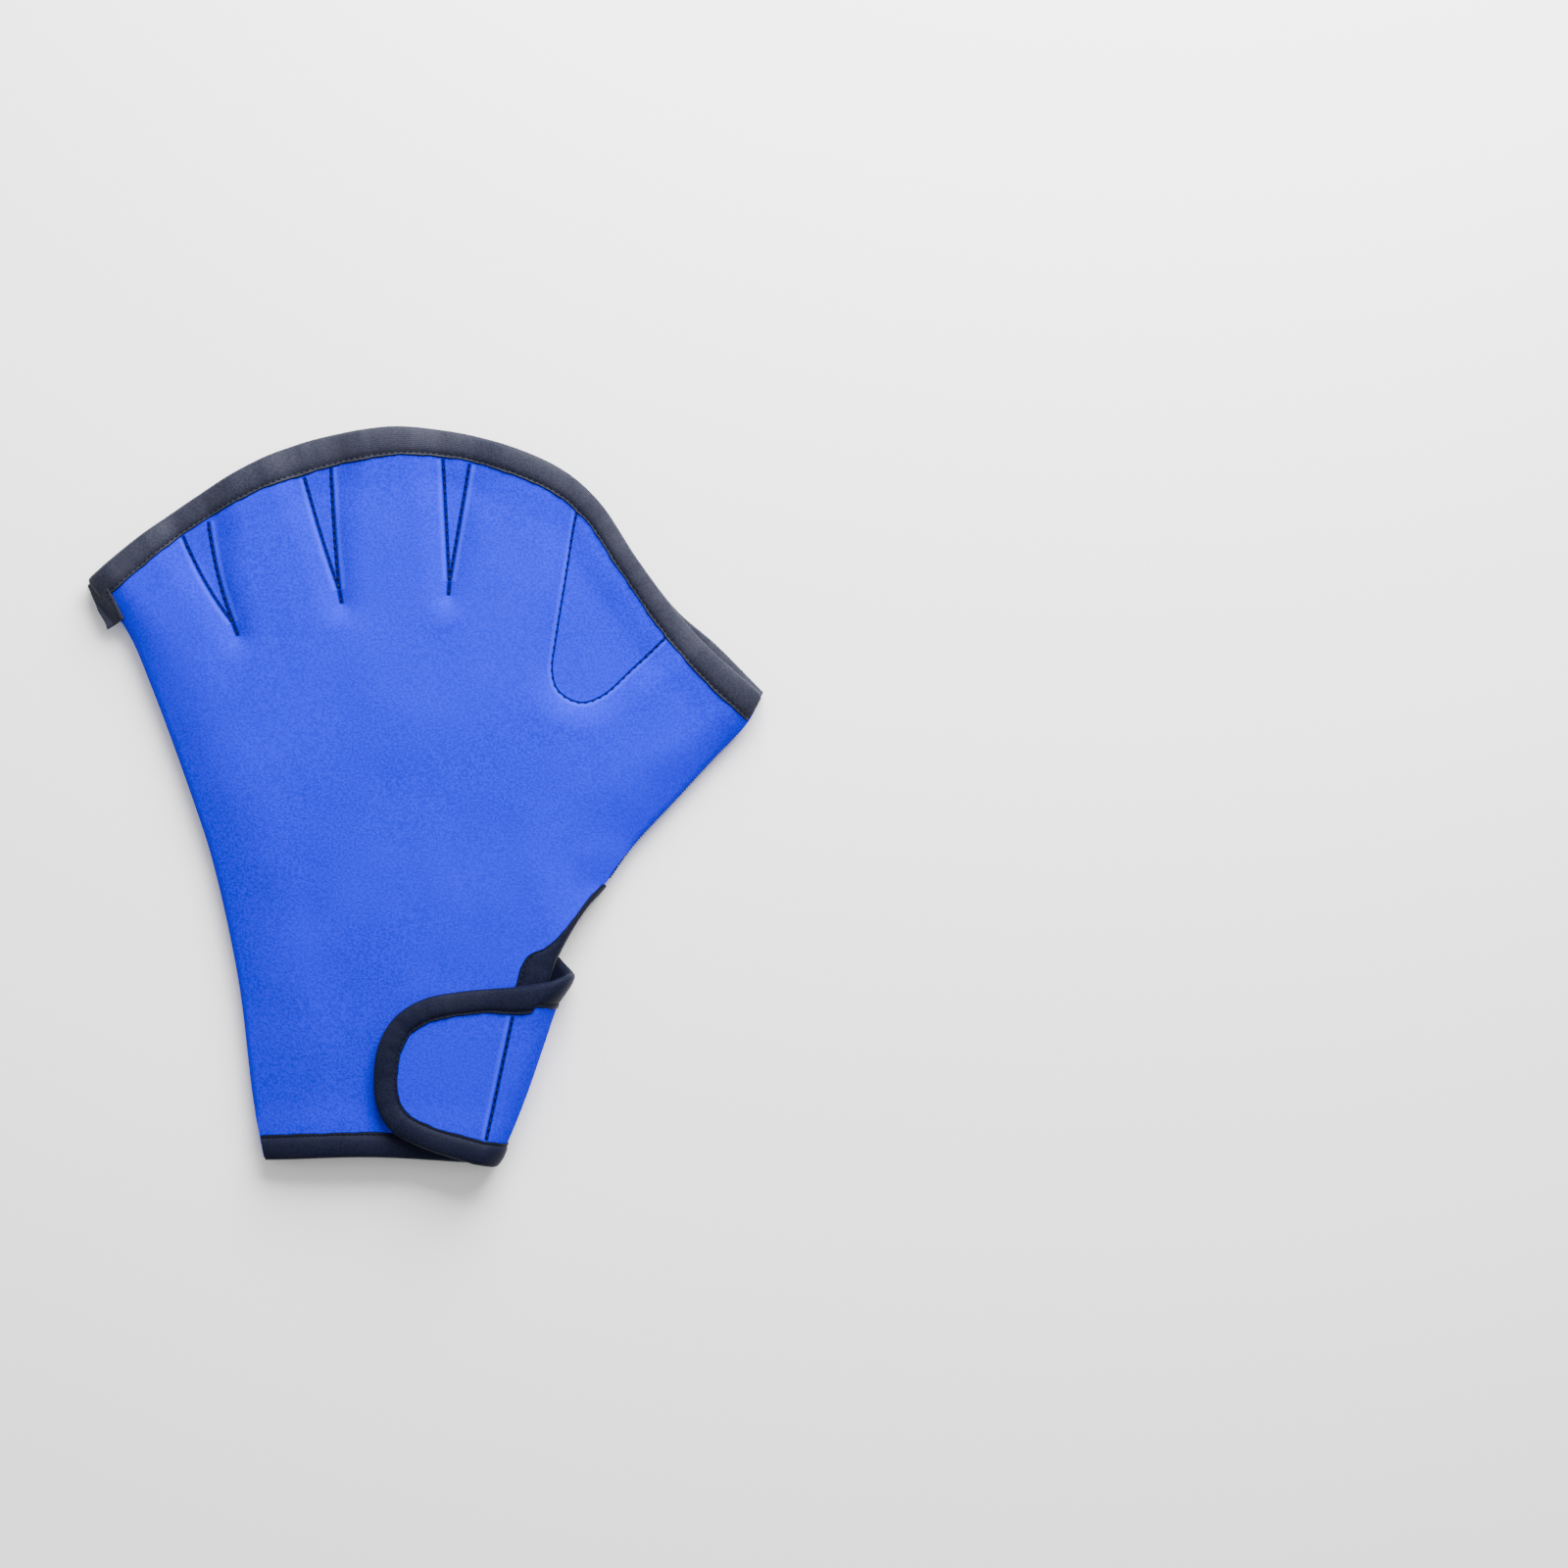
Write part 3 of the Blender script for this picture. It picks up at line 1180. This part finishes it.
# The cut end's zigzag, laid over some of that piece's rows and between two of its columns.
ZIGZAGS = 9
ZIGZAG_ROWS = (14, 38)
ZIGZAG_COLS = (8, 2)
JUST_UNDER = 0.001
zigzag_rows = np.linspace(*ZIGZAG_ROWS, ZIGZAGS + 1).astype(int)
zigzag_cols = np.array(ZIGZAG_COLS)[np.arange(ZIGZAGS + 1) % 2]
zigzag_plan = end_plan[zigzag_rows, zigzag_cols]
zigzag_z = end_z[zigzag_rows, zigzag_cols] + END_T / 2
zigzag = np.concatenate([zigzag_plan, zigzag_z[:, None]], 1)
zigzag_length = np.linalg.norm(np.diff(zigzag, axis=0), axis=1).sum()
zigzag_up = np.tile([0.0, 0.0, 1.0], (ZIGZAGS + 1, 1))
stitches(
    "end_stitches",
    [(zigzag, zigzag_up)],
    pitch=zigzag_length / ZIGZAGS - JUST_UNDER,
    length=1.5,
    radius=0.24,
    material=thread.material,
)

# The web lines and the line across the tab lie just under the cloth's upper face.
WEB_LIFT, HOOK_LIFT = 0.93, 0.95
web_rows = []
for line in web_lines:
    plan = bowed(line["start"], line["end"], line.get("bow", 0.0))
    web_rows.append(on_back(plan, WEB_LIFT))
web_rows.append(on_back(thumb_web, WEB_LIFT))
hook_plan = bowed(HOOK_LINE["start"], HOOK_LINE["end"], 0)
hook_z = tab_height(hook_plan) + HOOK_LIFT
hook_up = np.tile([0.0, 0.0, 1.0], (len(hook_plan), 1))
web_rows.append((np.concatenate([hook_plan, hook_z[:, None]], 1), hook_up))
navy = Nodes("navy_thread")
navy.set(Base_Color=(0.002, 0.003, 0.030, 1.0), Roughness=0.6, Specular_IOR_Level=0.1)
stitches(
    "web_stitches", web_rows, pitch=2.3, length=1.8, radius=0.32, material=navy.material
)

# The side seams are sewn edge to edge, and end short of the tapes.
SEAM_OUT = 0.1
seam_rows = []
for seam, out in ((left_of["back"][12:-14], -1), (thumb_seam[2:-3], 1)):
    height = fullness(seam)[1]
    way = to_right(headings(seam)) * out
    line = np.concatenate([seam + way * SEAM_OUT, height[:, None]], 1)
    seam_rows.append((line, np.concatenate([way, np.zeros((len(way), 1))], 1)))
stitches(
    "seam_stitches", seam_rows, pitch=0.9, length=1.25, radius=0.34, material=navy.material
)


# The floor, the lights and the camera, which looks straight down as the photo does. Lengths
# from here on are in metres.
FLOOR_HALF = 1.6
floor_mesh = bpy.data.meshes.new("floor")
floor_mesh.from_pydata(
    [(x * FLOOR_HALF, y * FLOOR_HALF, 0) for x, y in ((-1, -1), (1, -1), (1, 1), (-1, 1))],
    [],
    [(0, 1, 2, 3)],
)
floor = bpy.data.objects.new("floor", floor_mesh)
bpy.context.collection.objects.link(floor)
pale = Nodes("pale_floor")
pale.set(Base_Color=(0.93, 0.93, 0.935, 1.0), Roughness=0.9, Specular_IOR_Level=0.1)
floor_mesh.materials.append(pale.material)

LIGHTS = [
    dict(name="key", place=(0.22, 0.58, 0.45), size=0.6, power=29.0),
    dict(name="fill_left", place=(-1.2, 0.1, 1.2), size=1.2, power=8.0),
    dict(name="fill_right", place=(1.3, -0.2, 1.1), size=1.2, power=5.0),
    dict(name="top", place=(0.1, 0.5, 2.2), size=1.8, power=9.0),
]
for row in LIGHTS:
    data = bpy.data.lights.new(row["name"], "AREA")
    data.size, data.energy = row["size"], row["power"]
    lamp = bpy.data.objects.new(row["name"], data)
    lamp.location = row["place"]
    aim = -np.array(row["place"])
    lamp.rotation_euler = (
        float(np.arctan2(np.hypot(aim[0], aim[1]), -aim[2])),
        0.0,
        float(np.arctan2(-aim[0], aim[1])),
    )
    bpy.context.collection.objects.link(lamp)

WORLD_POWER = 0.34
world = bpy.data.worlds.new("studio")
world.use_nodes = True
background = world.node_tree.nodes["Background"]
background.inputs[0].default_value = (1.0, 1.0, 1.0, 1.0)
background.inputs[1].default_value = WORLD_POWER
bpy.context.scene.world = world

FRAME_WIDTH = 0.4619
FRAME_MIDDLE = (0.1054, 0.0046, 0.01)
LENS, SENSOR = 120.0, 36.0
camera_data = bpy.data.cameras.new("camera")
camera_data.lens, camera_data.sensor_width = LENS, SENSOR
camera = bpy.data.objects.new("camera", camera_data)
camera.location = (
    FRAME_MIDDLE[0] + CENTRE[0] * MM,
    FRAME_MIDDLE[1] + CENTRE[1] * MM,
    FRAME_MIDDLE[2] + FRAME_WIDTH * LENS / SENSOR,
)
bpy.context.collection.objects.link(camera)
bpy.context.scene.camera = camera
